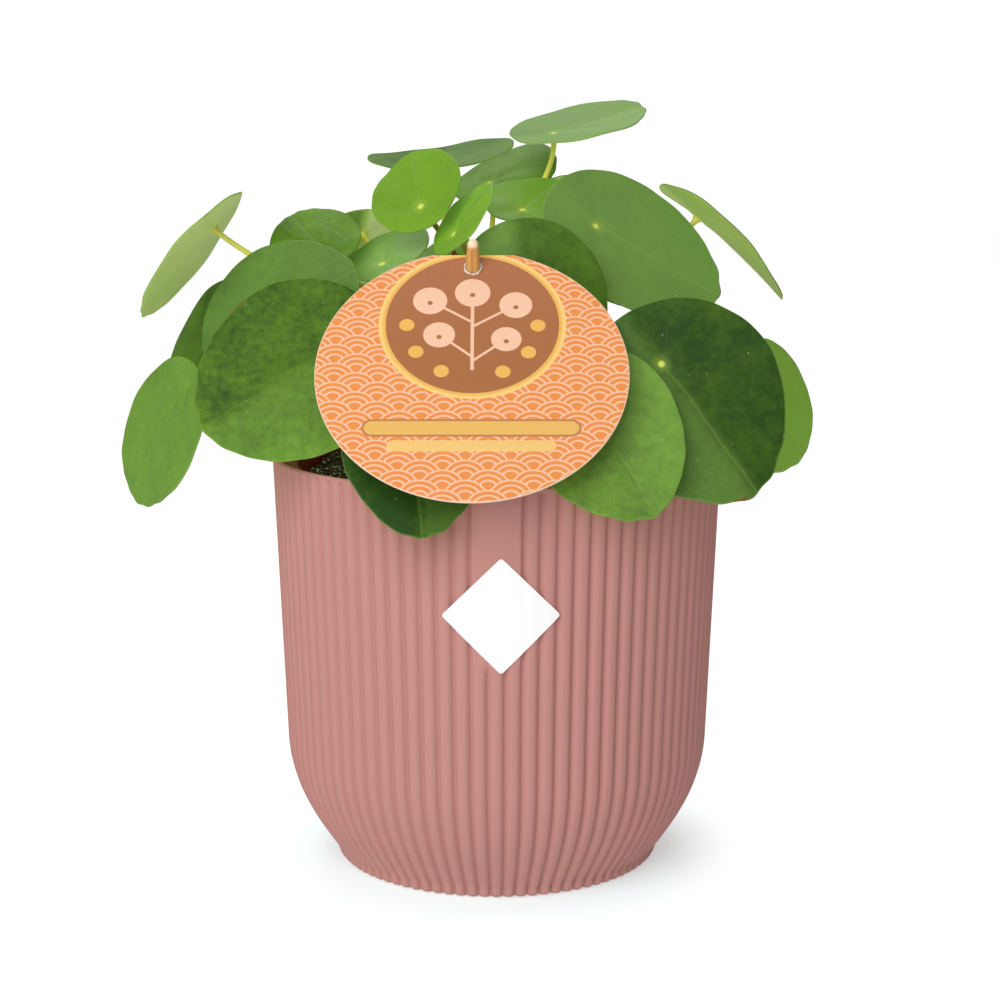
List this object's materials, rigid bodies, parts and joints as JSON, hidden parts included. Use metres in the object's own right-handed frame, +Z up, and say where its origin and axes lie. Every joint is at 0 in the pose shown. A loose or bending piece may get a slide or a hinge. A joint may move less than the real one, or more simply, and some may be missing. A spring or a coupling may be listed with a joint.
{
  "type": "potted houseplant",
  "caption": "Potted Chinese money plant: round leaves on long stalks, in a nursery pot inside a ribbed planter, with a round card on a wooden pick.",
  "frame": {"origin": "centre of the planter's flat underside, on the surface it stands on", "axes": "+Z up, -Y towards the front, where the card and the sticker are, +X to the right seen from the front"},
  "size_m": [0.218, 0.197, 0.2366],
  "materials": {
    "planter_pink": "satin",
    "nursery_red": "satin",
    "potting_soil": "matte",
    "stem_bark": "matte",
    "leaf_green": "satin",
    "card_print": "satin",
    "pick_wood": "matte",
    "sticker_paper": "satin"
  },
  "bodies": {
    "root": {"planter": "planter_pink", "nursery_pot": "nursery_red", "soil": "potting_soil", "main_stem": "stem_bark", "leaf_top": "leaf_green", "leaf_top_left": "leaf_green", "leaf_top_middle": "leaf_green", "leaf_young_front": "leaf_green", "leaf_young_middle": "leaf_green", "leaf_upper_middle": "leaf_green", "leaf_upper_right": "leaf_green", "leaf_right_edge_on": "leaf_green", "leaf_behind_card_right": "leaf_green", "leaf_left_edge_on": "leaf_green", "leaf_left_small": "leaf_green", "leaf_left_turned_away": "leaf_green", "leaf_left_inner": "leaf_green", "leaf_left_upper": "leaf_green", "leaf_left_shaded": "leaf_green", "leaf_front_left": "leaf_green", "leaf_left_low": "leaf_green", "leaf_front_hanging": "leaf_green", "leaf_front_right_hanging": "leaf_green", "leaf_front_right": "leaf_green", "leaf_right_low": "leaf_green", "leaf_back_left_high": "leaf_green", "leaf_back_left": "leaf_green", "leaf_back": "leaf_green", "leaf_back_low_left": "leaf_green", "leaf_back_right_high": "leaf_green", "leaf_back_right": "leaf_green", "leaf_back_low_right": "leaf_green", "leaf_inner_right": "leaf_green", "leaf_inner_middle": "leaf_green", "plant_card": "card_print", "card_pick": "pick_wood", "sticker": "sticker_paper"}
  },
  "joints": []
}
